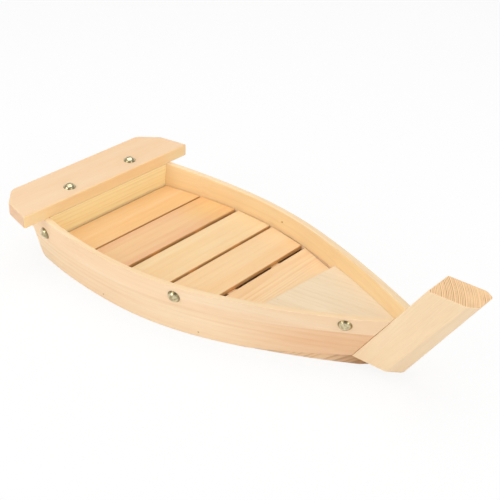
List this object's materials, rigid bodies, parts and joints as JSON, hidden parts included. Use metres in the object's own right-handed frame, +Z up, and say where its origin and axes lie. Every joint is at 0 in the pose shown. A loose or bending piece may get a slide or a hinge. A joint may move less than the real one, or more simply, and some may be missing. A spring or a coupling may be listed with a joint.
{
  "type": "sushi boat",
  "caption": "Wooden boat-shaped serving platter with planked sides, a raked stem, a stern board and a loose slatted deck that lifts out.",
  "frame": {"origin": "on the table under the middle of the boat's overall box", "axes": "+X towards the bow, +Y to port, +Z up"},
  "size_m": [0.4209, 0.1934, 0.0907],
  "materials": {
    "base_timber": "bare planed softwood, in shade",
    "lower_plank": "bare planed softwood, fine straight grain",
    "upper_plank": "bare planed softwood, fine straight grain",
    "transom_timber": "bare planed softwood, broad straight grain",
    "stern_plank": "bare planed softwood, very fine grain",
    "stem_timber": "bare planed softwood with end grain on top",
    "bow_plank": "bare planed softwood, pale with fine lines",
    "deck_plank": "bare planed softwood, broad plain grain",
    "tack_brass": "antique polished dome",
    "nail_steel": "plain wire"
  },
  "bodies": {
    "hull": {"bottom_board": "base_timber", "lower_strake_port": "lower_plank", "lower_strake_starboard": "lower_plank", "upper_strake_port": "upper_plank", "upper_strake_starboard": "upper_plank", "transom": "transom_timber", "stern_board": "stern_plank", "stem": "stem_timber", "bow_deck": "bow_plank", "bow_bulkhead": "base_timber", "side_tacks_port": "tack_brass", "side_tacks_starboard": "tack_brass", "stern_board_tacks": "tack_brass", "strake_brads_port": "nail_steel", "strake_brads_starboard": "nail_steel", "bow_deck_brads": "nail_steel", "transom_nails": "nail_steel", "stem_nail": "nail_steel"},
    "deck_grate": {"deck_slat_1": "deck_plank", "deck_slat_2": "deck_plank", "deck_slat_3": "deck_plank", "deck_slat_4": "deck_plank", "deck_slat_5": "deck_plank", "deck_batten_port": "base_timber", "deck_batten_starboard": "base_timber", "slat_brads": "nail_steel"}
  },
  "joints": [
    {"name": "grate_lift", "type": "slide", "parent": "hull", "child": "deck_grate", "axis": [0, 0, 1], "range_m": [0, 0.06]}
  ]
}
